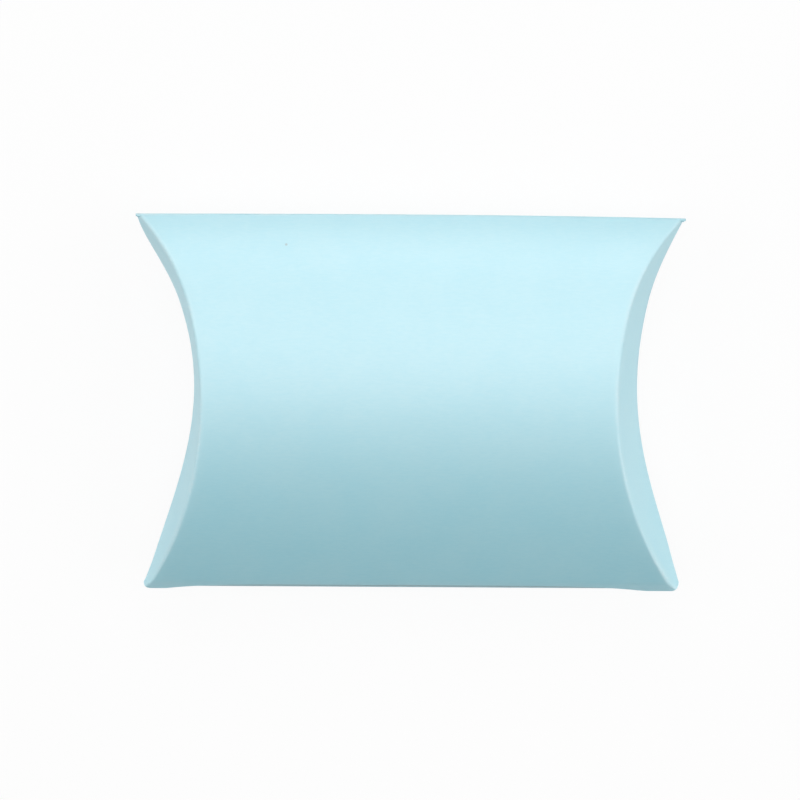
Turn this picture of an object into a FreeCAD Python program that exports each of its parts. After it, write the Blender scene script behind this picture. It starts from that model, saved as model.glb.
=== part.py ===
import FreeCAD, Part
import math
import os
from FreeCAD import Placement, Rotation, Vector

# Pillow box: a bowed card sleeve, closed at each end by two nested flaps on curved creases.
# X runs along the side folds, Y across the panels, Z up through the front panel.
# The middle plane of the sleeve holds both side folds; the back panel rests at Z = 0.

SIZES = (
    ("body_length", 90.0, "corner to corner along the side folds"),
    ("body_width", 63.0, "across the sleeve, over the side folds"),
    ("panel_rise", 9.0, "height of each bowed panel over the middle plane"),
    ("crease_dip", 11.0, "how far the middle of a curved crease lies behind its corners"),
    ("crown_width", 28.0, "width of a panel's flat crown, between its rounder sides"),
    ("edge_angle", 38.0, "degrees, slope of a panel where it runs into a side fold"),
    ("card_thickness", 0.4, "caliper of the card"),
    ("fold_leg", 1.8, "straight width of a side fold on each of its panels"),
    ("fold_radius", 0.6, "outer radius of a side fold"),
    ("raw_edge_setback", 0.5, "how far the front panel's raw edge stops short of the lower fold"),
    ("crease_width", 1.0, "width of a scored crease on each side of its line"),
    ("crease_bevel", 0.25, "width, on each skin, of the bevel pressed along a curved crease"),
    ("hinge_gap", 0.15, "gap where a flap turns against the sleeve"),
    ("flap_clearance", 0.2, "gap between the outer and the inner flap"),
    ("tip_clearance", 0.2, "gap between a crease's end and the side fold"),
    ("outer_flap_depth", 17.4, "outer flap, from its crease to its free edge"),
    ("outer_tip_trim", 0.3, "how much an outer flap's tips are cut back from its crease's ends"),
    ("inner_flap_depth", 16.4, "inner flap, from its crease to its free edge"),
    ("inner_tip_trim", 2.8, "how much an inner flap's tips are cut back from its crease's ends"),
    ("inner_tip_height", 1.2, "blunt end of an inner flap at each tip"),
    ("glue_flap_width", 12.0, "glue flap, from the lower fold to its free edge"),
    ("glue_flap_setback", 4.0, "glue flap, from the corners to its ends at the fold"),
    ("glue_flap_taper", 9.0, "how much further in its ends lie at the free edge"),
    ("glue_thickness", 0.1, "film of glue"),
    ("glue_inset", 2.0, "bare margin of the glue flap round the glue"),
    ("cut_overrun", 6.0, "how far a cutting shape passes the card"),
)

doc = FreeCAD.newDocument("pillow_box")
sheet = doc.addObject("Spreadsheet::Sheet", "sizes")
for row, (alias, value, meaning) in enumerate(SIZES, start=1):
    sheet.set("A%d" % row, meaning)
    sheet.set("B%d" % row, str(value))
    sheet.setAlias("B%d" % row, alias)
doc.recompute()


def size(alias):
    return float(sheet.get(alias))


half_length = size("body_length") / 2
rise = size("panel_rise")
dip = size("crease_dip")
card = size("card_thickness")
overrun = size("cut_overrun")
edge = math.radians(size("edge_angle"))
crown_half = size("crown_width") / 2
glue_depth = card + size("glue_thickness")

# The two outer skins of the sleeve would meet in a sharp apex line; the fold rounds it off.
apex = size("body_width") / 2 + size("fold_radius") * (1 / math.sin(edge) - 1)
fold_end = apex - size("fold_leg") * math.cos(edge)
fold_end_height = size("fold_leg") * math.sin(edge)
crease_half_width = fold_end - (glue_depth + card) * math.sin(edge) - size("tip_clearance")

# The inner flap stands inside the outer one, so its crease is shifted inwards along X.
plan_slope = math.tan(edge) * dip / rise
inner_shift = (card + size("flap_clearance")) * math.hypot(1, plan_slope)
inner_tip = half_length - inner_shift


class Bow:
    """A bowed card in section: a flat crown arc and two tighter side arcs, tangent to each other.

    The bow stands on two foot points, half apart from its middle line and foot above zero.
    Places on it are given by the slope angle, negative towards -Y, and the depth under the skin.
    """

    def __init__(self, half, height, foot, edge_slope):
        # An arc drops by its width times the tangent of the mean slope of its two ends.
        edge_tan = math.tan(edge_slope / 2)
        fall = height - foot
        square = crown_half * edge_tan
        linear = half + fall * edge_tan
        rest = fall - (half - crown_half) * edge_tan
        crown_tan = (linear - math.sqrt(linear ** 2 - 4 * square * rest)) / (2 * square)
        self.crown_slope = 2 * math.atan(crown_tan)
        self.edge_slope = edge_slope
        self.crown_radius = crown_half / math.sin(self.crown_slope)
        self.side_radius = (half - crown_half) / (math.sin(edge_slope) - math.sin(self.crown_slope))
        self.crown_centre = height - self.crown_radius

    def point(self, slope, depth):
        if abs(slope) <= self.crown_slope:
            centre = (0, self.crown_centre)
            radius = self.crown_radius
        else:
            step = self.crown_radius - self.side_radius
            turn = math.copysign(self.crown_slope, slope)
            centre = (step * math.sin(turn), self.crown_centre + step * math.cos(turn))
            radius = self.side_radius
        reach = radius - depth
        return Vector(centre[0] + reach * math.sin(slope), centre[1] + reach * math.cos(slope), 0)

    def arcs(self, start, end, depth):
        """Arcs from one slope to another, split at the top and where the crown meets the sides."""
        ends = sorted((start, end))
        turns = (-self.crown_slope, 0, self.crown_slope)
        joints = [turn for turn in turns if ends[0] < turn < ends[1]]
        slopes = [start] + sorted(joints, reverse=start > end) + [end]
        pieces = []
        for here, there in zip(slopes, slopes[1:]):
            middle = self.point((here + there) / 2, depth)
            pieces.append(Part.Arc(self.point(here, depth), middle, self.point(there, depth)))
        return pieces


section = Bow(fold_end, rise, fold_end_height, edge)
plan = Bow(fold_end, dip, fold_end_height * dip / rise, math.atan(plan_slope))


def polygon(points):
    """Straight lines through the points, closed."""
    corners = [Vector(x, y, 0) for x, y in points]
    return [Part.LineSegment(a, b) for a, b in zip(corners, corners[1:] + corners[:1])]


def along(point, slope, distance):
    """A point moved outwards along the skin's tangent at an edge of the bow."""
    side = math.copysign(1, slope)
    return point + Vector(side * distance * math.cos(slope), -distance * math.sin(abs(slope)), 0)


def mirrored_up(point):
    return Vector(point.x, -point.y, 0)


def rounded(before, corner, after, radius):
    """The arc that rounds a corner, given a point on each of its two sides."""
    to_before = (before - corner).normalize()
    to_after = (after - corner).normalize()
    half_angle = to_before.getAngle(to_after) / 2
    reach = radius / math.tan(half_angle)
    bisector = (to_before + to_after).normalize()
    middle = corner + bisector * (radius / math.sin(half_angle) - radius)
    return Part.Arc(corner + to_before * reach, middle, corner + to_after * reach)


def joined(pieces):
    """Pieces of an outline in order, with a straight line wherever two of them do not meet."""
    outline = []
    for piece, following in zip(pieces, pieces[1:] + pieces[:1]):
        outline.append(piece)
        if piece.EndPoint.distanceToPoint(following.StartPoint) > Part.Precision.confusion():
            outline.append(Part.LineSegment(piece.EndPoint, following.StartPoint))
    return outline


def draw(sketch, outlines):
    for outline in outlines:
        sketch.addGeometry(outline, False)


def body_sketch(body, role, name, outlines):
    """A sketch on one of a body's own origin planes."""
    sketch = body.newObject("Sketcher::SketchObject", name)
    plane = [feature for feature in body.Origin.OriginFeatures if feature.Role == role][0]
    sketch.AttachmentSupport = [(plane, "")]
    sketch.MapMode = "FlatFace"
    draw(sketch, outlines)
    return sketch


def padded_body(node, role, outline, length):
    """A body with one symmetric pad, as long as the expression says."""
    body = doc.addObject("PartDesign::Body", node)
    body.Label = node
    pad = body.newObject("PartDesign::Pad", node + "_pad")
    pad.Profile = body_sketch(body, role, node + "_outline", [outline])
    pad.SideType = "Symmetric"
    pad.setExpression("Length", length)
    doc.recompute()
    return body


def trim(body, role, name, outlines):
    """Cut closed outlines right through a body, and make sure that card came away."""
    volume = body.Shape.Volume
    pocket = body.newObject("PartDesign::Pocket", name)
    pocket.Profile = body_sketch(body, role, name + "_outline", outlines)
    pocket.Type = "ThroughAll"
    pocket.SideType = "Symmetric"
    doc.recompute()
    if body.Shape.Volume >= volume:
        raise RuntimeError("nothing was cut by " + name)


def raise_to_floor(piece):
    """Lift a piece from the middle plane so that the back panel rests on the floor."""
    piece.setExpression("Placement.Base.z", "sizes.panel_rise")


def both_ends(points):
    """An outline at the right end, and the same one at the left end."""
    return [polygon(points), polygon([(-x, y) for x, y in points])]


# A flap that folds along a curved crease is the panel's own bow, carried on past the crease
# and turned half a turn about the crease's plane. Its skin then lies on the other side.
half_turn = Rotation(Vector(-dip, 0, rise), 180)
corner = Vector(half_length, 0, rise)
right_fold = Placement(corner - half_turn.multVec(Vector(half_length, 0, 0)), half_turn)
other_end = Placement(Vector(), Rotation(Vector(0, 0, 1), 180))
level = Placement(Vector(0, 0, rise), Rotation())
upside_down = Placement(Vector(0, 0, rise), Rotation(Vector(1, 0, 0), 180))


def slope_at(bow, across):
    """The slope of a bow's side arc at a distance from its middle."""
    step = (bow.crown_radius - bow.side_radius) * math.sin(bow.crown_slope)
    return math.asin((across - step) / bow.side_radius)


def skirted(bow, depth):
    """The whole bow at a depth, carried on straight past both side folds."""
    reach = size("fold_leg") + overrun
    slope = bow.edge_slope
    first = bow.point(-slope, depth)
    last = bow.point(slope, depth)
    return (
        [Part.LineSegment(along(first, -slope, reach), first)]
        + bow.arcs(-slope, slope, depth)
        + [Part.LineSegment(last, along(last, slope, reach))]
    )


def in_plan(pieces):
    """Pieces of the plan bow, laid across the right end of the sleeve."""
    laid = []
    for piece in pieces:
        middle = piece.value((piece.FirstParameter + piece.LastParameter) / 2)
        flat = (piece.StartPoint, middle, piece.EndPoint)
        places = [Vector(inner_tip - place.y, place.x, 0) for place in flat]
        straight = isinstance(piece, Part.LineSegment)
        laid.append(Part.LineSegment(places[0], places[2]) if straight else Part.Arc(*places))
    return laid


def bow_prism(name, depth, upwards, placement):
    """A long prism of everything under the bow's skin, or over it."""
    reach = 2 * size("body_length") if upwards else -2 * rise - overrun
    skin = skirted(section, depth)
    first = skin[0].StartPoint
    last = skin[-1].EndPoint
    far_side = Part.LineSegment(Vector(last.x, reach, 0), Vector(first.x, reach, 0))
    prism = padded_body(name, "YZ_Plane", joined(skin + [far_side]), "4 * sizes.body_length")
    prism.Placement = placement
    return prism


def plan_prism(name, depth, placement):
    """An upright prism of everything behind the inner flap's skin."""
    skin = in_plan(skirted(plan, depth))
    first = skin[0].StartPoint
    last = skin[-1].EndPoint
    inside = -half_length - overrun
    far_side = Part.LineSegment(Vector(inside, last.y, 0), Vector(inside, first.y, 0))
    prism = padded_body(name, "XY_Plane", joined(skin + [far_side]), "4 * sizes.panel_rise")
    prism.Placement = placement
    raise_to_floor(prism)
    return prism


def combined(kind, node, shapes):
    """One object made from several, by what they share or by joining them."""
    piece = doc.addObject(kind, node)
    piece.Label = node
    piece.Shapes = shapes
    return piece


def within(node, sheet_body, limits):
    """A sheet of card, kept only where it lies inside all of its limits."""
    return combined("Part::MultiCommon", node, [sheet_body] + limits)


crease_width = size("crease_width")
turning = crease_width + size("hinge_gap")

# Front panel: it runs past the lower fold with a raw edge, which hides the seam.
raw_leg = size("fold_leg") - size("raw_edge_setback")
raw_outer = along(section.point(-edge, 0), -edge, raw_leg)
raw_inner = along(section.point(-edge, card), -edge, raw_leg)
front_outline = joined(
    [Part.LineSegment(raw_outer, section.point(-edge, 0))]
    + section.arcs(-edge, edge, 0)
    + section.arcs(edge, -edge, card)
    + [Part.LineSegment(section.point(-edge, card), raw_inner)]
)
front_sheet = padded_body("front_sheet", "YZ_Plane", front_outline, "sizes.body_length")
raise_to_floor(front_sheet)
front_panel = within("front_panel", front_sheet, [
    bow_prism("right_front_limit", -turning, True, right_fold),
    bow_prism("left_front_limit", -turning, True, other_end * right_fold),
])

# Back panel: the same bow turned half a turn about X, between the two folds.
back_outline = joined(section.arcs(-edge, edge, 0) + section.arcs(edge, -edge, card))
back_sheet = padded_body("back_sheet", "YZ_Plane", back_outline, "sizes.body_length")
back_sheet.Placement = upside_down
raise_to_floor(back_sheet)
back_panel = within("back_panel", back_sheet, [
    plan_prism("right_back_limit", -crease_width, Placement()),
    plan_prism("left_back_limit", -crease_width, other_end),
])


def fold_outline(side, front_depth):
    """Section of a side fold: two straight legs and the rounded bend between them.

    The front leg lies under the front skin by front_depth, so that it meets the sheet beyond it.
    """
    slope = side * edge
    front_outer = section.point(slope, front_depth)
    front_inner = section.point(slope, front_depth + card)
    back_outer = mirrored_up(section.point(slope, 0))
    back_inner = mirrored_up(section.point(slope, card))
    outer_drop = front_depth / (2 * math.cos(edge))
    outer_corner = Vector(side * (apex - front_depth / (2 * math.sin(edge))), -outer_drop, 0)
    inner_corner = outer_corner - Vector(side * card / math.sin(edge), 0, 0)
    inner_radius = max(size("fold_radius") - card, card / 2)
    bend = rounded(front_outer, outer_corner, back_outer, size("fold_radius"))
    inside = rounded(back_inner, inner_corner, front_inner, inner_radius)
    return joined([
        Part.LineSegment(front_inner, front_outer), bend,
        Part.LineSegment(back_outer, back_inner), inside,
    ])


# Side folds: their ends come to a point between the creases of the two panels.
crease_foot = half_length - dip
beyond = half_length + overrun
fold_ends = both_ends([
    (half_length, 0), (crease_foot, rise), (beyond, rise), (beyond, -rise), (crease_foot, -rise),
])
upper_fold = padded_body("upper_fold", "YZ_Plane", fold_outline(1, 0), "sizes.body_length")
lower_fold = padded_body("lower_fold", "YZ_Plane", fold_outline(-1, glue_depth), "sizes.body_length")
for fold in (upper_fold, lower_fold):
    trim(fold, "XZ_Plane", fold.Label + "_ends", fold_ends)
    raise_to_floor(fold)

# Glue flap: it carries on from the lower fold, inside the front panel, with slanted ends.
glue_flap_slope = -edge + size("glue_flap_width") / section.side_radius
glue_flap_outline = joined(
    section.arcs(-edge, glue_flap_slope, glue_depth)
    + section.arcs(glue_flap_slope, -edge, glue_depth + card)
)
fold_y = section.point(-edge, glue_depth).x
free_y = section.point(glue_flap_slope, glue_depth).x


def slanted_ends(inset):
    """What lies beyond the slanted ends of the glue flap or of its glue, seen from above."""
    lean = size("glue_flap_taper") / (free_y - fold_y)
    fold_x = half_length - size("glue_flap_setback") - inset
    near = fold_y - overrun
    far = free_y + overrun
    return both_ends([(fold_x + overrun * lean, near), (beyond, near), (beyond, far),
                      (fold_x - (far - fold_y) * lean, far)])


glue_flap = padded_body("glue_flap", "YZ_Plane", glue_flap_outline, "sizes.body_length")
trim(glue_flap, "XY_Plane", "glue_flap_ends", slanted_ends(0))
raise_to_floor(glue_flap)

# Glue: a film between the glue flap and the inside of the front panel.
glue_start = -edge + size("glue_inset") / section.side_radius
glue_end = glue_flap_slope - size("glue_inset") / section.side_radius
glue_outline = joined(
    section.arcs(glue_start, glue_end, card) + section.arcs(glue_end, glue_start, glue_depth)
)
glue_line = padded_body("glue_line", "YZ_Plane", glue_outline, "sizes.body_length")
trim(glue_line, "XY_Plane", "glue_line_ends", slanted_ends(size("glue_inset")))
raise_to_floor(glue_line)

# Creases end short of the side folds.
tips = doc.addObject("Part::Box", "crease_tips")
tips.setExpression("Length", "sizes.body_length")
tips.setExpression("Height", "2 * sizes.panel_rise")
tips.Width = 2 * crease_half_width
tips.Placement.Base = Vector(0, -crease_half_width, 0)


def crease(node, panel, flap, setback):
    """A scored crease: the corner of two skins, one card thick, hollow inside and bevelled outside.

    panel and flap make a prism of all that lies deeper than a depth under either skin.
    """
    skins = [panel("skin", 0), flap("skin", 0)]
    insides = [panel("inside", card), flap("inside", card)]
    legs = [panel("end", crease_width), flap("end", crease_width)]
    solid = combined("Part::MultiCommon", node + "_corner", skins + [tips])
    hollow = combined("Part::MultiCommon", node + "_hollow", insides)
    waste = combined("Part::MultiFuse", node + "_waste", [hollow] + legs)
    strip = doc.addObject("Part::Cut", node + "_strip")
    strip.Base = solid
    strip.Tool = waste
    doc.recompute()
    pressed = doc.addObject("Part::Chamfer", node)
    pressed.Label = node
    pressed.Base = strip
    bevel = size("crease_bevel")
    chosen = []
    for number, line in enumerate(strip.Shape.Edges, start=1):
        middle = line.valueAt((line.FirstParameter + line.LastParameter) / 2)
        crease_x = half_length - setback - abs(middle.z - rise) * dip / rise
        if abs(middle.x - crease_x) < card / 2 and line.BoundBox.YLength > card:
            chosen.append((number, bevel, bevel))
    pressed.Edges = chosen
    doc.recompute()
    return pressed


front_crease = crease(
    "right_front_crease",
    lambda use, depth: bow_prism("front_" + use, depth, False, level),
    lambda use, depth: bow_prism("outer_flap_" + use, -depth, True, right_fold),
    0,
)
back_crease = crease(
    "right_back_crease",
    lambda use, depth: bow_prism("back_" + use, depth, False, upside_down),
    lambda use, depth: plan_prism("inner_flap_" + use, -depth, Placement()),
    inner_shift,
)

# Outer flap, drawn as the panel carried on past its crease, with a curved free edge.
outer_slope = slope_at(section, crease_half_width - size("outer_tip_trim"))
outer_outline = joined(
    section.arcs(-outer_slope, outer_slope, 0) + section.arcs(outer_slope, -outer_slope, -card)
)
outer_sheet = padded_body("outer_flap_sheet", "YZ_Plane", outer_outline, "2 * sizes.body_length")
top = rise + overrun
bulge = size("outer_flap_depth") - dip
far = 2 * size("body_length")
free_edge = polygon([(half_length, 0), (half_length + top * bulge / rise, top), (far, top), (far, 0)])
trim(outer_sheet, "XZ_Plane", "outer_free_edge", [free_edge])
outer_sheet.Placement = right_fold
outer_flap = within("right_outer_flap", outer_sheet, [bow_prism("outer_root", crease_width, False, level)])

# Inner flap: upright behind the outer one, cut back at its tips so that it can swing inwards.
inner_half = crease_half_width - size("inner_tip_trim")
inner_slope = slope_at(plan, inner_half)
inner_outline = joined(
    in_plan(plan.arcs(-inner_slope, inner_slope, 0)) + in_plan(plan.arcs(inner_slope, -inner_slope, -card))
)
inner_sheet = padded_body("inner_flap_sheet", "XY_Plane", inner_outline, "4 * sizes.panel_rise")
tip_root = -section.point(slope_at(section, inner_half), turning).y
tip = Vector(inner_tip - plan.point(inner_slope, 0).y, tip_root + size("inner_tip_height"), 0)
crest = Vector(inner_tip - dip, size("inner_flap_depth") - rise, 0)
past = (tip - crest).normalize() * overrun
high = 2 * rise + overrun
trim(inner_sheet, "XZ_Plane", "inner_free_edge", [
    polygon([((crest - past).x, (crest - past).y), ((tip + past).x, (tip + past).y),
             ((tip + past).x, high), ((crest - past).x, high)]),
])
raise_to_floor(inner_sheet)
inner_flap = within("right_inner_flap", inner_sheet, [bow_prism("inner_root", turning, False, upside_down)])


def left_copy(piece):
    """The same piece at the left end, mirrored across the middle of the box."""
    copy = doc.addObject("Part::Mirroring", piece.Label.replace("right", "left"))
    copy.Label = piece.Label.replace("right", "left")
    copy.Source = piece
    copy.Normal = Vector(1, 0, 0)
    return copy


def check_all(pieces):
    """Stop unless every object is sound and every piece is one valid solid."""
    for item in doc.Objects:
        if "Invalid" in item.State or "Error" in item.State:
            raise RuntimeError("failed: " + item.Label)
    for piece in pieces:
        if piece.Shape.isNull() or not piece.Shape.isValid() or len(piece.Shape.Solids) != 1:
            raise RuntimeError("unsound shape: " + piece.Label)


right_end = [front_crease, back_crease, outer_flap, inner_flap]
pieces = [front_panel, back_panel, upper_fold, lower_fold, glue_flap, glue_line] + right_end
pieces += [left_copy(piece) for piece in right_end]
doc.recompute()
check_all(pieces)
os.makedirs("parts", exist_ok=True)
for piece in pieces:
    piece.Shape.exportStep(os.path.join("parts", piece.Label + ".step"))

outer_axis = (half_length - dip - card / 2, 2 * rise - card / 2)
inner_axis = (inner_tip - dip - card, crease_width + size("hinge_gap") / 2)
print("outer flap turns about x %.3f z %.3f" % outer_axis)
print("inner flap turns about x %.3f z %.3f" % inner_axis)
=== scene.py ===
# %% [markdown]
# A pillow box is a single sheet of card, die-cut, scored and glued into a flat tube, which bows open
# when its curved ends are pushed in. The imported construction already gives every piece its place, its
# size and its motion. This lesson dresses it: it rolls smooth bowed card in Blender, rounds the folds
# and creases, gives the card its dyed paper finish, and lights it as in a small photo studio.

# %% Load the construction
import math
import bpy
from mathutils import Matrix, Vector


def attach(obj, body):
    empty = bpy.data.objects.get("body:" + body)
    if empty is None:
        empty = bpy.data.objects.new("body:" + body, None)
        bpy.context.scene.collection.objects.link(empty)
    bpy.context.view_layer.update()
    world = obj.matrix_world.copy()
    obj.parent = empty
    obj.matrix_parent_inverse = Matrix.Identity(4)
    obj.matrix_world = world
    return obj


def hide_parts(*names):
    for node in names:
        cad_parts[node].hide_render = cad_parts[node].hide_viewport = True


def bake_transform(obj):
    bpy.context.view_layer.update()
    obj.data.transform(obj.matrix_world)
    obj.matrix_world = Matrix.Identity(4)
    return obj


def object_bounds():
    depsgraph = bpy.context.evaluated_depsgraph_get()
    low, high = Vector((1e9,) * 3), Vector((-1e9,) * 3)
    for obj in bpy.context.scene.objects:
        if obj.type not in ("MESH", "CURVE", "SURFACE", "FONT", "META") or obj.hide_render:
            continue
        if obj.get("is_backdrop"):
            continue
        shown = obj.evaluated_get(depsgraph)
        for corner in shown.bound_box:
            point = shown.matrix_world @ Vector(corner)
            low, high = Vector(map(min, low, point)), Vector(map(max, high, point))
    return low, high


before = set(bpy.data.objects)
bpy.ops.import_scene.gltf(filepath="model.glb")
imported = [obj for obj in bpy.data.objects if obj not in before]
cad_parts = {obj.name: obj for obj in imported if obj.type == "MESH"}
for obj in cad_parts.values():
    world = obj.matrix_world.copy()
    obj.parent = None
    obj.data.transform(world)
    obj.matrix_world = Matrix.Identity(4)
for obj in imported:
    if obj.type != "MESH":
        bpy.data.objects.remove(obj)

construction_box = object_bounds()
print("pieces of the construction:", sorted(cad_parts))

# %% [markdown]
# The camera comes first, because every later choice is judged through it. The picture looks almost
# straight down on the front panel, from a little beyond the upper fold. One could aim the camera with
# a Track To constraint, but a long lens from 45 cm away with three small turns gives the picture's
# slight narrowing towards the lower fold directly, and the turns can be read as they are.

# %% Camera
mm = 0.001
middle = 9.0 * mm
heart = Vector((0, 0, middle))
lean_back, lean_side, roll_over = 0.159, -0.028, -0.004
eye_side, eye_up, eye_far = -1.66 * mm, 0.61 * mm, 450 * mm
turns = (Matrix.Rotation(-lean_back, 4, "X") @ Matrix.Rotation(-lean_side, 4, "Y")
         @ Matrix.Rotation(-roll_over, 4, "Z"))
eye = turns @ Vector((eye_side, eye_up, eye_far)) + heart
lens = bpy.data.cameras.new("photo_lens")
lens.sensor_width = 36
lens.lens = 122.2
lens.clip_start = 0.01
camera = bpy.data.objects.new("photo_camera", lens)
bpy.context.collection.objects.link(camera)
camera.matrix_world = Matrix.Translation(eye) @ turns
bpy.context.scene.camera = camera
print("camera at", [round(v, 3) for v in eye], "lens", lens.lens)

# %% [markdown]
# Seen from the end, a bowed panel is a gentle crown arc with a tighter arc on each side, which runs
# into a short straight leg at the side fold. A free curve could be drawn by eye, but arcs that meet at
# the same slope bend the way card does, with no kinks. The card is double at the glued seam, so it is
# stiffer there: the front's lower side stays flatter and its crown sits a little towards the upper
# fold. The back is even.

# %% Sizes of the bow
half_length, rise, dip, card = 45 * mm, 9 * mm, 11 * mm, 0.4 * mm
fold_line, fold_leg, fold_radius = 31.5 * mm, 1.8 * mm, 0.6 * mm
edge = math.radians(38)
apex = fold_line + fold_radius * (1 / math.sin(edge) - 1)
bow_half = apex - fold_leg * math.cos(edge)
foot = fold_leg * math.sin(edge)


class Bow:
    """Lower side arc, crown arc and upper side arc, which meet at two given slopes."""

    def __init__(self, lower_slope, upper_slope):
        self.slopes = slopes = (lower_slope, upper_slope)
        climb = rise - foot
        spread = [(math.sin(edge) - math.sin(c)) / (math.cos(c) - math.cos(edge)) for c in slopes]
        gain = sum(math.sin(c) - (1 - math.cos(c)) * k for c, k in zip(slopes, spread))
        self.crown = (2 * bow_half - climb * sum(spread)) / gain
        self.sides = [(climb - self.crown * (1 - math.cos(c))) / (math.cos(c) - math.cos(edge))
                      for c in slopes]
        lower_run = self.sides[0] * (math.sin(edge) - math.sin(lower_slope))
        self.top = lower_run + self.crown * math.sin(lower_slope) - bow_half
        self.centre = (self.top, rise - self.crown)
        self.side_centres = []
        for way, radius, slope in zip((-1, 1), self.sides, slopes):
            inside = self.crown - radius
            self.side_centres.append((self.top + way * inside * math.sin(slope),
                                      self.centre[1] + inside * math.cos(slope)))

    def height(self, y):
        """Height of the skin over the middle plane at a place across the panel."""
        way = 0 if y < self.top else 1
        side_y, side_z = self.side_centres[way]
        if abs(y) >= bow_half:
            return foot - (abs(y) - bow_half) * math.tan(edge)
        if abs(y - self.top) > self.crown * math.sin(self.slopes[way]):
            return side_z + math.sqrt(self.sides[way] ** 2 - (y - side_y) ** 2)
        return self.centre[1] + math.sqrt(self.crown ** 2 - (y - self.top) ** 2)


front_bow = Bow(lower_slope=math.radians(26), upper_slope=math.radians(11))
back_bow = Bow(lower_slope=math.radians(7.75), upper_slope=math.radians(7.75))
for bow, word in ((front_bow, "front"), (back_bow, "back")):
    print(word, "bow: crown radius %.1f mm, top at %.1f mm" % (bow.crown / mm, bow.top / mm))

# %% [markdown]
# The card is dyed right through in a pale aqua and coated on its outer side, so it has a soft white
# sheen where it turns towards the light. The coat's index of refraction is higher than plain paper's,
# as in a pearl coat, because that sheen is strong and broad. A plain colour would look like plastic:
# paper is cloudy at the scale of a fingertip and fibrous at the scale of a hair. Both come from noise,
# the fibre's noise stretched along the grain. The pattern reads the place that each point has at rest,
# stored on the mesh as an attribute, so that it stays on the card when a flap folds. Two more
# attributes say where the card is rubbed paler along a crease and where a painted shade darkens the
# seam under the front's raw edge.

# %% Paper finishes
# Of these tones, the second is painted shade for the shadow under the front's raw edge at the seam; the
# first is wear and the third a pulp fleck.
worn_tone, seam_shade_tone, fleck_tone = (0.58, 0.86, 0.93, 1), (0.15, 0.24, 0.27, 1), (0.26, 0.5, 0.56, 1)
fleck_core, fleck_rim = 0.12 * mm, 0.28 * mm


def tinted(nodes, link, share, first, second):
    """Mix two colours, of which the first may come from another node, and give the result."""
    mix = nodes.new("ShaderNodeMix")
    mix.data_type = "RGBA"
    link(share, mix.inputs[0])
    if isinstance(first, tuple):
        mix.inputs[6].default_value = first
    else:
        link(first, mix.inputs[6])
    mix.inputs[7].default_value = second
    return mix.outputs[2]


def paper_finish(name, pale, deep, roughness, reflect, relief, fleck=None):
    """Dyed card: two close tones mixed by cloud and fibre, paler where worn, with painted shade along
    the seam.
    """
    finish = bpy.data.materials.new(name)
    finish.use_nodes = True
    nodes, link = finish.node_tree.nodes, finish.node_tree.links.new
    shader = nodes["Principled BSDF"]
    shader.inputs["IOR"].default_value = reflect
    shader.inputs["Specular IOR Level"].default_value = 1.0

    rest = nodes.new("ShaderNodeAttribute")
    rest.attribute_name = "rest_place"
    grain = nodes.new("ShaderNodeMapping")
    grain.inputs["Scale"].default_value = (0.25, 1, 1)
    fibre = nodes.new("ShaderNodeTexNoise")
    fibre.inputs["Scale"].default_value = 3200
    fibre.inputs["Detail"].default_value = 3
    cloud = nodes.new("ShaderNodeTexNoise")
    cloud.inputs["Scale"].default_value = 140
    cloud.inputs["Detail"].default_value = 2
    link(rest.outputs["Vector"], grain.inputs["Vector"])
    link(grain.outputs["Vector"], fibre.inputs["Vector"])
    link(rest.outputs["Vector"], cloud.inputs["Vector"])

    both = nodes.new("ShaderNodeMath")
    link(fibre.outputs["Fac"], both.inputs[0])
    link(cloud.outputs["Fac"], both.inputs[1])
    spread = nodes.new("ShaderNodeMapRange")
    spread.inputs["From Min"].default_value = 0.75
    spread.inputs["From Max"].default_value = 1.25
    link(both.outputs[0], spread.inputs["Value"])
    colour = tinted(nodes, link, spread.outputs[0], pale, deep)

    worn = nodes.new("ShaderNodeAttribute")
    worn.attribute_name = "wear"
    rubbed = nodes.new("ShaderNodeMath")
    rubbed.operation = "MULTIPLY"
    link(worn.outputs["Fac"], rubbed.inputs[0])
    link(spread.outputs[0], rubbed.inputs[1])
    colour = tinted(nodes, link, rubbed.outputs[0], colour, worn_tone)
    # Painted shade: the seam attribute darkens the lower fold where the front's raw edge shades it.
    seam = nodes.new("ShaderNodeAttribute")
    seam.attribute_name = "seam"
    colour = tinted(nodes, link, seam.outputs["Fac"], colour, seam_shade_tone)
    if fleck:
        away = nodes.new("ShaderNodeVectorMath")
        away.operation = "DISTANCE"
        away.inputs[1].default_value = fleck
        link(rest.outputs["Vector"], away.inputs[0])
        near = nodes.new("ShaderNodeMapRange")
        near.inputs["From Min"].default_value = fleck_rim
        near.inputs["From Max"].default_value = fleck_core
        link(away.outputs["Value"], near.inputs["Value"])
        colour = tinted(nodes, link, near.outputs[0], colour, fleck_tone)
    link(colour, shader.inputs["Base Color"])

    dull = nodes.new("ShaderNodeMapRange")
    dull.inputs["From Min"].default_value = 0.3
    dull.inputs["From Max"].default_value = 0.7
    dull.inputs["To Min"].default_value = roughness - 0.05
    dull.inputs["To Max"].default_value = roughness + 0.05
    link(fibre.outputs["Fac"], dull.inputs["Value"])
    duller = nodes.new("ShaderNodeMath")
    duller.operation = "MULTIPLY_ADD"
    duller.inputs[1].default_value = 0.1
    link(worn.outputs["Fac"], duller.inputs[0])
    link(dull.outputs[0], duller.inputs[2])
    link(duller.outputs[0], shader.inputs["Roughness"])
    raised = nodes.new("ShaderNodeBump")
    raised.inputs["Strength"].default_value = 0.4
    raised.inputs["Distance"].default_value = relief
    link(both.outputs[0], raised.inputs["Height"])
    link(raised.outputs["Normal"], shader.inputs["Normal"])
    return finish


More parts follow.
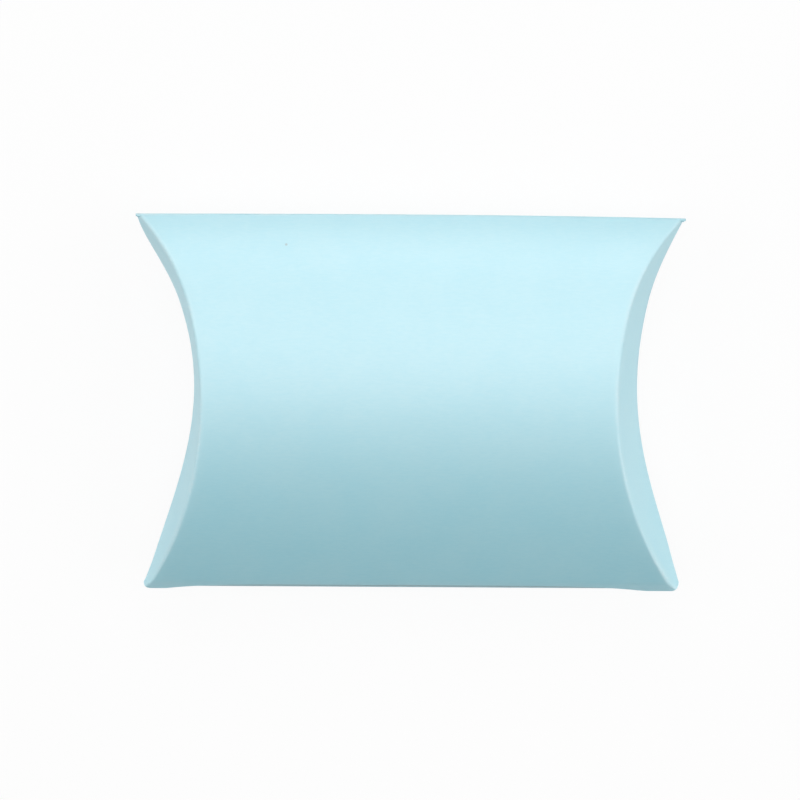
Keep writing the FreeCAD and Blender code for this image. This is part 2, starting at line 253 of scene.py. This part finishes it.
fleck_x, fleck_y = -20.1 * mm, 26.8 * mm
pulp_fleck = Vector((fleck_x, fleck_y, middle + front_bow.height(fleck_y)))
coated = paper_finish("aqua_card_coated", pale=(0.41, 0.80, 0.905, 1), deep=(0.37, 0.78, 0.895, 1),
                      roughness=0.5, reflect=2.25, relief=0.02 * mm, fleck=pulp_fleck)
uncoated = paper_finish("aqua_card_inside", pale=(0.44, 0.79, 0.88, 1), deep=(0.38, 0.74, 0.84, 1),
                        roughness=0.8, reflect=1.4, relief=0.04 * mm)
cut_edge = paper_finish("aqua_card_cut_edge", pale=(0.52, 0.82, 0.89, 1), deep=(0.42, 0.76, 0.85, 1),
                        roughness=0.85, reflect=1.4, relief=0.06 * mm)
print("finishes:", coated.name, uncoated.name, cut_edge.name)

# %% [markdown]
# Rolling a sheet is done as by hand: a short flat strip is the first primitive, and its leading edge is
# spun about the centre of each arc in turn. Spin leaves the new leading edge selected, so the next arc
# or straight leg simply carries on from it. A curve with an extrusion would give the same outline, but
# with faces that are harder to trim and to shape later.

# %% Helpers that roll and trim a sheet
tolerance = 1e-7


def select_where(test):
    """Select the points of the active mesh that pass a test on their place."""
    bpy.ops.object.mode_set(mode="EDIT")
    bpy.ops.mesh.select_mode(type="VERT")
    bpy.ops.mesh.select_all(action="DESELECT")
    bpy.ops.object.mode_set(mode="OBJECT")
    for point in bpy.context.object.data.vertices:
        point.select = test(point.co)
    bpy.ops.object.mode_set(mode="EDIT")


def strip(name, x_from, x_to, start, slope, width):
    """A flat strip along X whose section starts at (y, z) and runs on at a slope."""
    bpy.ops.object.select_all(action="DESELECT")
    bpy.ops.mesh.primitive_plane_add(size=1)
    piece = bpy.context.object
    piece.name = name
    run = Vector((0, math.cos(slope), math.sin(slope)))
    first = Vector((0, start[0], start[1] + middle))
    piece.scale = (x_to - x_from, width, 1)
    piece.rotation_euler = (slope, 0, 0)
    piece.location = first + run * width / 2 + Vector(((x_from + x_to) / 2, 0, 0))
    bpy.ops.object.transform_apply()
    select_where(lambda p: (p - first).dot(run) > width / 2)
    return piece


def roll(centre, angle, steps):
    """Carry the leading edge round an arc about a line along X. Spin counts its angles clockwise."""
    bpy.ops.mesh.spin(steps=steps, angle=-angle, axis=(1, 0, 0),
                      center=(0, centre[0], centre[1] + middle))


def straight(direction, length):
    """Carry the leading edge on in a straight line."""
    step = Vector(direction).normalized() * length
    bpy.ops.mesh.extrude_region_move(TRANSFORM_OT_translate={"value": step})


def trim(point, outwards):
    """Cut everything off beyond a plane."""
    bpy.ops.mesh.select_all(action="SELECT")
    bpy.ops.mesh.bisect(plane_co=point, plane_no=outwards, clear_outer=True, threshold=tolerance)


panel_leg = 0.9 * mm


def roll_bow(name, x_from, x_to, bow, upside=1, first_leg=panel_leg):
    """A bowed sheet from leg to leg: the front's bow, or with upside -1 the back's."""
    leg_start = (-bow_half - first_leg * math.cos(edge), upside * (foot - first_leg * math.sin(edge)))
    piece = strip(name, x_from, x_to, leg_start, upside * edge, first_leg)
    (low_y, low_z), (high_y, high_z) = bow.side_centres
    low_slope, high_slope = bow.slopes
    low_steps = max(6, round(bow.sides[0] * (edge - low_slope) / mm))
    roll((low_y, upside * low_z), -upside * (edge - low_slope), low_steps)
    roll((bow.top, upside * bow.centre[1]), -upside * (low_slope + high_slope), 36)
    roll((high_y, upside * high_z), -upside * (edge - high_slope), 18)
    straight((0, math.cos(edge), -upside * math.sin(edge)), panel_leg)
    return piece


# %% [markdown]
# The scores at the ends are curved, yet on the bowed sheet each lies in one slanted plane, so a single
# bisect with that plane cuts the panel along it. The panel stops a little short of its crease: the
# narrow rest belongs to the flap, which can then bend about the crease without opening a seam.

# %% Planes of the creases
crease_strip = Vector((-0.85 * mm, 0, 0))
inner_shift = Vector((-0.83 * mm, 0, 0))
corner = Vector((half_length, 0, middle))
inner_corner = corner + inner_shift
front_out = Vector((rise, 0, dip)).normalized()
back_out = Vector((rise, 0, -dip)).normalized()
print("creases dip %.0f mm into a panel that rises %.0f mm" % (dip / mm, rise / mm))

# %% [markdown]
# A sheet becomes card when it gets its 0.4 mm thickness, inwards, with the coated finish outside, the
# uncoated one inside and a fibrous cut edge round the rim. Solidify does all three at once. Before that
# the sheet is cleaned of the crumbs that trimming leaves, because a sliver would throw up a spike, and
# its faces are turned away from the middle of the box, so that inwards is the same way everywhere.

# %% Helpers that finish a sheet
def clean():
    """Weld the crumbs that trimming leaves."""
    bpy.ops.mesh.select_all(action="SELECT")
    bpy.ops.mesh.remove_doubles(threshold=0.05 * mm)
    bpy.ops.mesh.dissolve_degenerate(threshold=0.01 * mm)


def face_out():
    """Turn all faces of the sheet away from the middle of the box."""
    bpy.ops.object.mode_set(mode="OBJECT")
    mesh = bpy.context.object.data
    outwards = sum((face.center - heart).dot(face.normal) * face.area for face in mesh.polygons)
    bpy.ops.object.mode_set(mode="EDIT")
    bpy.ops.mesh.select_all(action="SELECT")
    if outwards < 0:
        bpy.ops.mesh.flip_normals()


def divide_along(cuts):
    """Divide the sheet's long straight lines, so that it can be shaped and worn along its length."""
    bpy.ops.mesh.select_mode(type="EDGE")
    bpy.ops.mesh.select_all(action="DESELECT")
    bpy.ops.object.mode_set(mode="OBJECT")
    mesh = bpy.context.object.data
    for line in mesh.edges:
        here, there = (mesh.vertices[i].co for i in line.vertices)
        line.select = math.hypot(here.y - there.y, here.z - there.z) < tolerance
    bpy.ops.object.mode_set(mode="EDIT")
    bpy.ops.mesh.subdivide(number_cuts=cuts)


def apply(piece, kind, **settings):
    """Add a modifier, set it and apply it."""
    bpy.ops.object.mode_set(mode="OBJECT")
    modifier = piece.modifiers.new(kind.lower(), kind)
    for key, value in settings.items():
        setattr(modifier, key, value)
    bpy.ops.object.modifier_apply(modifier=modifier.name)


def mirror_ends(piece):
    """Copy the right half of a sheet to the left."""
    apply(piece, "MIRROR", merge_threshold=1e-6)


def thicken(piece, finishes=(coated, uncoated, cut_edge), thickness=card):
    """Give a sheet its thickness, inwards, its finishes, and smooth shading up to its cut edges."""
    for finish in finishes:
        piece.data.materials.append(finish)
    apply(piece, "SOLIDIFY", thickness=thickness, offset=-1, use_quality_normals=True,
          material_offset=1, material_offset_rim=2)
    bpy.ops.object.shade_smooth_by_angle(angle=math.radians(40))
    places = [point.co / mm for point in piece.data.vertices]
    low = [round(min(p[i] for p in places), 2) for i in range(3)]
    high = [round(max(p[i] for p in places), 2) for i in range(3)]
    print(piece.name, len(piece.data.polygons), "faces, mm", low, high)


# %% [markdown]
# The front panel is the face of the box. It is rolled for one half, trimmed along the crease and
# mirrored to the other end. Its lower leg is a raw edge that laps over the seam. A raw edge is never
# quite straight: between the corners it stands back a little, with a small kink near the middle, and
# shows a sliver of the fold under it. That wander is a move of the edge's own points along the leg.

# %% Front panel
reach = half_length + 2 * mm
raw_leg = 1.3 * mm
length_cuts = 30
edge_back, back_middle, back_half = 0.92 * mm, -1 * mm, 40 * mm
edge_kink, kink_middle, kink_half = 0.06 * mm, -1.5 * mm, 4 * mm
front = roll_bow("front_panel_card", 0, reach, front_bow, first_leg=raw_leg)
trim(corner + crease_strip, front_out)
clean()
face_out()
divide_along(length_cuts)
mirror_ends(front)
for point in front.data.vertices:
    if point.co.y < -bow_half - 0.9 * raw_leg * math.cos(edge):
        stand_back = edge_back * max(0, 1 - ((point.co.x - back_middle) / back_half) ** 6)
        stand_back += edge_kink * math.exp(-((point.co.x - kink_middle) / kink_half) ** 2)
        point.co += stand_back * Vector((0, 1, math.tan(edge)))
thicken(front)

# %% [markdown]
# The back panel is the same sheet upside down, on which the box lies. It ends at the creases of the
# inner flaps, which sit a little further in, so that the flaps can overlap at the closed ends. Its
# lower leg is shorter than the upper one, to leave room for the fold at the seam.

# %% Back panel
seam_leg = 0.6 * mm
back = roll_bow("back_panel_card", 0, reach, back_bow, upside=-1, first_leg=seam_leg)
trim(inner_corner + crease_strip, back_out)
clean()
face_out()
divide_along(length_cuts)
mirror_ends(back)
thicken(back)

# %% [markdown]
# The upper fold joins front and back. Card that is scored and folded keeps a small round nose, here
# of 0.6 mm: two short legs and one arc between them. Its ends are cut slanting, so that the corner
# comes to a point where fold, panel and flap meet.

# %% Upper fold
bend_angle = math.pi - 2 * edge
bend_reach = fold_radius * math.tan(bend_angle / 2)
flat_leg = fold_leg - panel_leg - bend_reach
upper_overhang, upper_slant = 0.1 * mm, Vector((1, -1.2, 0))
fold_start = (bow_half + panel_leg * math.cos(edge), foot - panel_leg * math.sin(edge))
upper = strip("upper_fold_card", 0, reach, fold_start, -edge, flat_leg)
roll((apex - fold_radius / math.sin(edge), 0), -bend_angle, 10)
straight((0, -math.cos(edge), -math.sin(edge)), flat_leg)
trim(Vector((half_length + upper_overhang, fold_line, 0)), upper_slant)
clean()
face_out()
divide_along(length_cuts)
mirror_ends(upper)
thicken(upper)

# %% [markdown]
# The lower fold joins the back to the glue flap, which runs up inside the front panel. It is the same
# nose with a tighter bend, because it lies under the front's raw edge, which laps over it. Its ends
# stop short of the corners, where the flaps' round tips cover them.

# %% Lower fold
glue_depth, seam_radius = 0.5 * mm, 0.45 * mm
seam_reach = seam_radius * math.tan(bend_angle / 2)
lower_setback, lower_slant = 0.85 * mm, Vector((1, 0.45, 0))
low_corner = Vector((0, glue_depth / (2 * math.sin(edge)) - apex, -glue_depth / (2 * math.cos(edge))))
back_leg = Vector((0, -bow_half - seam_leg * math.cos(edge), -foot + seam_leg * math.sin(edge)))
inner_leg_end = Vector((0, -bow_half, foot)) + glue_depth * Vector((0, math.sin(edge), -math.cos(edge)))
lower = strip("lower_fold_card", 0, reach, (back_leg.y, back_leg.z), math.pi - edge,
              (back_leg - low_corner).length - seam_reach)
bend_from = low_corner + seam_reach * Vector((0, math.cos(edge), -math.sin(edge)))
bend_centre = bend_from + seam_radius * Vector((0, math.sin(edge), math.cos(edge)))
roll((bend_centre.y, bend_centre.z), -bend_angle, 10)
straight((0, math.cos(edge), math.sin(edge)), (inner_leg_end - low_corner).length - seam_reach)
trim(Vector((half_length - lower_setback, -fold_line, 0)), lower_slant)
clean()
face_out()
divide_along(length_cuts)
mirror_ends(lower)
thicken(lower)

# %% [markdown]
# Inside, the glue flap lies flat against the front panel with a film of dried glue between them. Both
# follow the front's own arcs at their depth, so they are rolled about the same centres. The flap's ends
# are cut slanting, as on every such blank, to keep it clear of the creases. The glue is a thin milky
# film with streaks from the brush, and is slightly shiny.

# %% Glue flap and glue
first_width, end_slant = 0.06 * mm, Vector((11, 9, 0))


def under_front(name, start, width, end_gap):
    """A sheet that lies under the front panel, from the lower fold upwards."""
    low_slope = front_bow.slopes[0]
    side_width = front_bow.sides[0] * (edge - low_slope)
    piece = strip(name, 0, reach, (start.y, start.z), edge, first_width)
    roll(front_bow.side_centres[0], -(edge - low_slope), 6)
    roll(front_bow.centre, -(width - side_width) / front_bow.crown, 12)
    trim(Vector((half_length - end_gap, start.y, middle)), end_slant)
    clean()
    face_out()
    divide_along(10)
    mirror_ends(piece)
    return piece


milky = bpy.data.materials.new("dried_glue")
milky.use_nodes = True
nodes, link = milky.node_tree.nodes, milky.node_tree.links.new
where = nodes.new("ShaderNodeTexCoord")
brush = nodes.new("ShaderNodeMapping")
brush.inputs["Scale"].default_value = (0.1, 1, 1)
streak = nodes.new("ShaderNodeTexNoise")
streak.inputs["Scale"].default_value = 1500
link(where.outputs["Object"], brush.inputs["Vector"])
link(brush.outputs["Vector"], streak.inputs["Vector"])
milk = tinted(nodes, link, streak.outputs["Fac"], (0.80, 0.84, 0.80, 1), (0.66, 0.76, 0.76, 1))
link(milk, nodes["Principled BSDF"].inputs["Base Color"])
link(streak.outputs["Fac"], nodes["Principled BSDF"].inputs["Roughness"])

glue = under_front("glue_flap_card", inner_leg_end, width=12 * mm, end_gap=4 * mm)
thicken(glue)
film_start = Vector((0, -bow_half, foot)) + card * Vector((0, math.sin(edge), -math.cos(edge)))
film = under_front("glue_film", film_start, width=10 * mm, end_gap=6 * mm)
thicken(film, finishes=(milky,), thickness=glue_depth - card)

# %% [markdown]
# An end flap hangs on a curved crease. When bowed card is folded along such a crease, all the lines
# straight across it stay parallel, so the fold is a sweep: the crease's own curve is carried round a
# small arc, from the panel's direction into the flap's, and then straight on down the flap. Chained
# extrusions do that, and the rounded crease comes with it.

# %% Helpers that sweep a flap
def sweep_flap(start_edge, towards, radius, length, steps):
    """Carry a panel's end over a rounded crease and on along the flap."""
    flow = Vector((1, 0, 0))
    axis = flow.cross(towards)
    turn = flow.angle(towards)
    bends = 7
    chord = 2 * radius * math.sin(turn / bends / 2)
    select_where(start_edge)
    for count in range(bends):
        straight(Matrix.Rotation(turn * (count + 0.5) / bends, 3, axis) @ flow, chord)
    for _ in range(steps):
        straight(towards, length / steps)


def to_side(side):
    """Turn the sheet over to the left end, and keep its faces outwards."""
    if side < 0:
        bpy.ops.mesh.select_all(action="SELECT")
        bpy.ops.transform.resize(value=(-1, 1, 1), center_override=(0, 0, 0))
        bpy.ops.mesh.flip_normals()


# %% [markdown]
# The outer flaps close the ends. The panel's bow, turned over about the crease plane, would make a flap
# that dips in as much as the panel rises. Real card springs back a little: towards its free edge each
# flap bellies outwards, and no two do so alike. That belly is a push of the points, strongest half way
# between the middle and the tips. The lower tips are cut round, as a die cuts them.

# %% Outer flaps
ruling = Vector((dip ** 2 - rise ** 2, 0, -2 * dip * rise)) / (dip ** 2 + rise ** 2)
outer_depth, crease_round = 17.4 * mm, 0.6 * mm
tip_round, tip_low = 1.5 * mm, -31.48 * mm
tip_centre = Vector((half_length - tip_round, tip_low + tip_round, 0))
flap_half, tip_push, tip_zone = 30 * mm, 0.5 * mm, 0.3


def belly_flap(lean, belly, skew):
    """Push the flap outwards towards its free edge, and its lower tip a little more."""
    bpy.ops.object.mode_set(mode="OBJECT")
    for point in bpy.context.object.data.vertices:
        high = front_bow.height(point.co.y) / rise
        along = max(0, (middle + high * rise - point.co.z) / (2 * rise * high))
        across = (point.co.y - front_bow.top) / flap_half
        push = lean * high + (belly + skew * across) * high * (1 - high)
        if across < 0:
            push += tip_push * max(0, 1 - high / tip_zone)
        point.co.x += along * push
    bpy.ops.object.mode_set(mode="EDIT")


def outer_flap(side, name, lean, belly, skew):
    """Strip of the front panel, its crease, and the outer flap down to its curved free edge."""
    before = crease_round * math.tan(Vector((1, 0, 0)).angle(ruling) / 2)
    flow_end = corner - Vector((before, 0, 0))
    piece = roll_bow(name, half_length - dip - 3 * mm, reach, front_bow, first_leg=raw_leg)
    trim(flow_end, front_out)
    trim(corner + crease_strip, -front_out)
    sweep_flap(lambda p: abs((p - flow_end).dot(front_out)) < tolerance, ruling,
               crease_round, outer_depth, steps=12)
    free_line = Vector((-dip, 0, rise)) + ruling * outer_depth
    trim(corner, Vector((-free_line.z, 0, free_line.x)))
    clean()
    belly_flap(lean, belly, skew)
    for turn in (15, 35, 55, 75):
        way = Vector((math.cos(math.radians(turn)), -math.sin(math.radians(turn)), 0))
        trim(tip_centre + tip_round * way, way)
    clean()
    face_out()
    to_side(side)
    thicken(piece)
    return piece


right_outer = outer_flap(1, "right_outer_flap_card", lean=0.57 * mm, belly=4.6 * mm, skew=-1.48 * mm)
left_outer = outer_flap(-1, "left_outer_flap_card", lean=-0.82 * mm, belly=6.55 * mm, skew=1.59 * mm)

# %% [markdown]
# The inner flaps stand upright behind the outer ones, on the back panel's creases. They are the same
# sweep the other way up, cut lower so that they pass under the front panel when they swing inwards. At
# the strip's two ends the thickness flares out a little, so those points are drawn back into the folds.

# %% Inner flaps
inner_depth, inner_round = 15.4 * mm, 0.5 * mm
tip_share, tip_height, above_crease = 0.3, 1.2 * mm, 0.3 * mm
strip_low = -bow_half - seam_leg * math.cos(edge)
strip_high = bow_half + panel_leg * math.cos(edge)


def inner_flap(side, name):
    """Strip of the back panel, its crease, and the upright inner flap."""
    flow_end = inner_corner - Vector((inner_round, 0, 0))
    piece = roll_bow(name, half_length - dip - 4 * mm, reach, back_bow, upside=-1, first_leg=seam_leg)
    trim(flow_end, back_out)
    trim(inner_corner + crease_strip, -back_out)
    upright = Vector((0, 0, 1))
    sweep_flap(lambda p: abs((p - flow_end).dot(back_out)) < tolerance, upright,
               inner_round, inner_depth, steps=10)
    select_where(lambda p: p.z > middle - back_bow.height(p.y) + above_crease)
    tip = inner_corner + tip_share * Vector((-dip, 0, -rise)) + tip_height * upright
    crest = inner_corner + Vector((-dip, 0, -rise)) + inner_depth * upright
    free_line = crest - tip
    bpy.ops.mesh.bisect(plane_co=tip, plane_no=(free_line.z, 0, -free_line.x),
                        clear_outer=True, threshold=tolerance)
    clean()
    face_out()
    to_side(side)
    thicken(piece)
    for point in piece.data.vertices:
        point.co.y = max(strip_low, min(strip_high, point.co.y))
    return piece


right_inner = inner_flap(1, "right_inner_flap_card")
left_inner = inner_flap(-1, "left_inner_flap_card")

# %% [markdown]
# A box glued by hand is never quite square: here the upper fold runs down a little towards its right
# end. All pieces that meet there take the same small shift of their points, so no seam opens. A
# lattice could do this too, but the shift is one line that can be read.

# %% Out of square
out_of_square = 0.65 * mm
for piece in (front, back, upper, right_outer, left_outer, right_inner, left_inner):
    for point in piece.data.vertices:
        along = max(0, (point.co.x + half_length) / (2 * half_length))
        across = max(0, point.co.y / fold_line)
        point.co.y -= out_of_square * along ** 3 * across ** 2
print("upper fold at its right end: %.2f mm" % (max(p.co.y for p in right_outer.data.vertices) / mm))

# %% [markdown]
# Handling rubs a card box where it is proud: along the creases and the folds. Wear is stored on the
# points while the box is at rest, as a share from 0 to 1 that falls off within half a millimetre. A
# painted shadow is stored in the same way, on the lower fold just under the raw edge that shades it.

# %% Wear and painted seam shade
crease_rub, fold_rub = 0.35 * mm, 0.3 * mm
# Painted shade under the raw edge: where it ends, how wide it runs and how dark it gets.
seam_shade_end, seam_shade_width, seam_shade_share = -31.25 * mm, 0.5 * mm, 0.85


def near(distance, width):
    """A share of 1 at a line, which falls off smoothly to both sides."""
    return math.exp(-(distance / width) ** 2)


def crease_wear(place, end, outwards):
    """Wear along a crease, the same at both ends of the box."""
    return near((Vector((abs(place.x), place.y, place.z)) - end).dot(outwards), crease_rub)


def mark(piece, wear, seam=None):
    """Store on each point its place at rest, its wear and its share of the painted shade at the seam.
    """
    mesh = piece.data
    rest = mesh.attributes.new("rest_place", "FLOAT_VECTOR", "POINT")
    rest.data.foreach_set("vector", [v for point in mesh.vertices for v in point.co])
    worn = mesh.attributes.new("wear", "FLOAT", "POINT")
    worn.data.foreach_set("value", [wear(point.co) for point in mesh.vertices])
    # The seam share is painted shade under the front's raw edge.
    if seam:
        seam_shade_values = mesh.attributes.new("seam", "FLOAT", "POINT")
        seam_shade_values.data.foreach_set("value", [seam(point.co) for point in mesh.vertices])
    print(piece.name, "worn points:", sum(wear(point.co) > 0.5 for point in mesh.vertices))


def painted_seam_shade(place):
    """Painted shade on the upper side of the lower fold, darker towards the raw edge that shades it."""
    if place.z < middle + low_corner.z:
        return 0
    return seam_shade_share * min(1, max(0, (place.y - seam_shade_end) / seam_shade_width))


for piece in (front, right_outer, left_outer):
    mark(piece, lambda p: crease_wear(p, corner, front_out))
for piece in (back, right_inner, left_inner):
    mark(piece, lambda p: crease_wear(p, inner_corner, back_out))
mark(upper, lambda p: near(fold_line - p.y, fold_rub))
# The lower fold takes the painted shade under the front's raw edge.
mark(lower, lambda p: 0, painted_seam_shade)
mark(glue, lambda p: 0)

# %% [markdown]
# Now each piece takes its place in the construction. Panels, folds and glue ride on the sleeve. A flap
# starts on the sleeve and ends on its own body; here the flaps keep their place at rest. The outer
# flaps' curved creases hold their tips back, so they would bend over a longer way than the inner ones.
# The construction's own pieces that the new card stands for are hidden.

# %% Bodies
for piece, node in ((front, "front_panel"), (back, "back_panel"), (upper, "upper_fold"),
                    (lower, "lower_fold"), (glue, "glue_flap"), (film, "glue_line")):
    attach(piece, "sleeve")
    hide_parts(node)
bend_start, outer_bend, inner_bend = 0.56 * mm, 9 * mm, 4 * mm
for side, word, outer, inner in ((1, "right", right_outer, right_inner),
                                 (-1, "left", left_outer, left_inner)):
    for flap, kind, crease, start, outwards, bend_end in (
            (outer, "outer", "front", corner, front_out, outer_bend),
            (inner, "inner", "back", inner_corner, back_out, inner_bend)):
        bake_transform(flap)
        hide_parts(word + "_" + crease + "_crease", word + "_" + kind + "_flap")

# %% [markdown]
# The box lies on a plain white floor, as on a shop's sweep of paper. The floor's own colour takes the
# light and the box's soft shadow. To the camera and to reflections it shows mostly as pure white, by a
# mix with a white emission of strength 1, which adds no light to the box.

# %% Floor
white_share = 0.92
bpy.ops.object.select_all(action="DESELECT")
bpy.ops.mesh.primitive_plane_add(size=4)
floor = bpy.context.object
floor.name = "white_floor"
floor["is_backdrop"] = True
white = bpy.data.materials.new("white_floor")
white.use_nodes = True
nodes, link = white.node_tree.nodes, white.node_tree.links.new
matte = nodes["Principled BSDF"]
matte.inputs["Base Color"].default_value = (0.9, 0.9, 0.9, 1)
matte.inputs["Roughness"].default_value = 0.9
glow = nodes.new("ShaderNodeEmission")
ray = nodes.new("ShaderNodeLightPath")
seen = ray.outputs["Is Camera Ray"]
for kind in ("Is Glossy Ray", "Is Transmission Ray"):
    either = nodes.new("ShaderNodeMath")
    either.operation = "MAXIMUM"
    link(seen, either.inputs[0])
    link(ray.outputs[kind], either.inputs[1])
    seen = either.outputs[0]
share = nodes.new("ShaderNodeMath")
share.operation = "MULTIPLY"
share.inputs[1].default_value = white_share
link(seen, share.inputs[0])
mix = nodes.new("ShaderNodeMixShader")
link(share.outputs[0], mix.inputs[0])
link(matte.outputs[0], mix.inputs[1])
link(glow.outputs[0], mix.inputs[2])
link(mix.outputs[0], nodes["Material Output"].inputs["Surface"])
floor.data.materials.append(white)
print("floor shows", white_share, "white to the camera")

# %% [markdown]
# The light is that of a small photo tent: one softbox behind the upper fold and one overhead make the
# broad sheen on the upper half of the front and let the lower half fall off, and two more at the sides,
# the right one a little stronger, lift the end flaps. A single hard lamp would draw a narrow streak on
# the bow instead.

# %% Light
bpy.context.scene.view_settings.view_transform = "Standard"
world = bpy.data.worlds.new("studio")
world.use_nodes = True
world.node_tree.nodes["Background"].inputs["Color"].default_value = (1, 1, 1, 1)
world.node_tree.nodes["Background"].inputs["Strength"].default_value = 0.05
bpy.context.scene.world = world


def softbox(name, place, size, power):
    """A rectangular lamp that looks at the middle of the box."""
    lamp = bpy.data.lights.new(name, "AREA")
    lamp.shape = "RECTANGLE"
    lamp.size, lamp.size_y = size
    lamp.energy = power
    item = bpy.data.objects.new(name, lamp)
    bpy.context.collection.objects.link(item)
    item.location = place
    item.rotation_euler = (heart - Vector(place)).to_track_quat("-Z", "Y").to_euler()
    print(name, "of", power, "W at", place)


softbox("upper_softbox", (0, 0.62, 0.50), (0.8, 0.5), 2.4)
softbox("overhead_softbox", (0, 0.08, 0.80), (0.8, 0.5), 2.4)
softbox("right_softbox", (0.65, 0, 0.48), (0.5, 0.4), 2.5)
softbox("left_softbox", (-0.65, 0, 0.48), (0.5, 0.4), 1.8)

# %% Measure and finish
visual_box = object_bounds()
sizes = {"construction": construction_box, "visual": visual_box}
for word, (low, high) in sizes.items():
    print(word, "box, mm:", [round((high[i] - low[i]) / mm, 2) for i in range(3)])
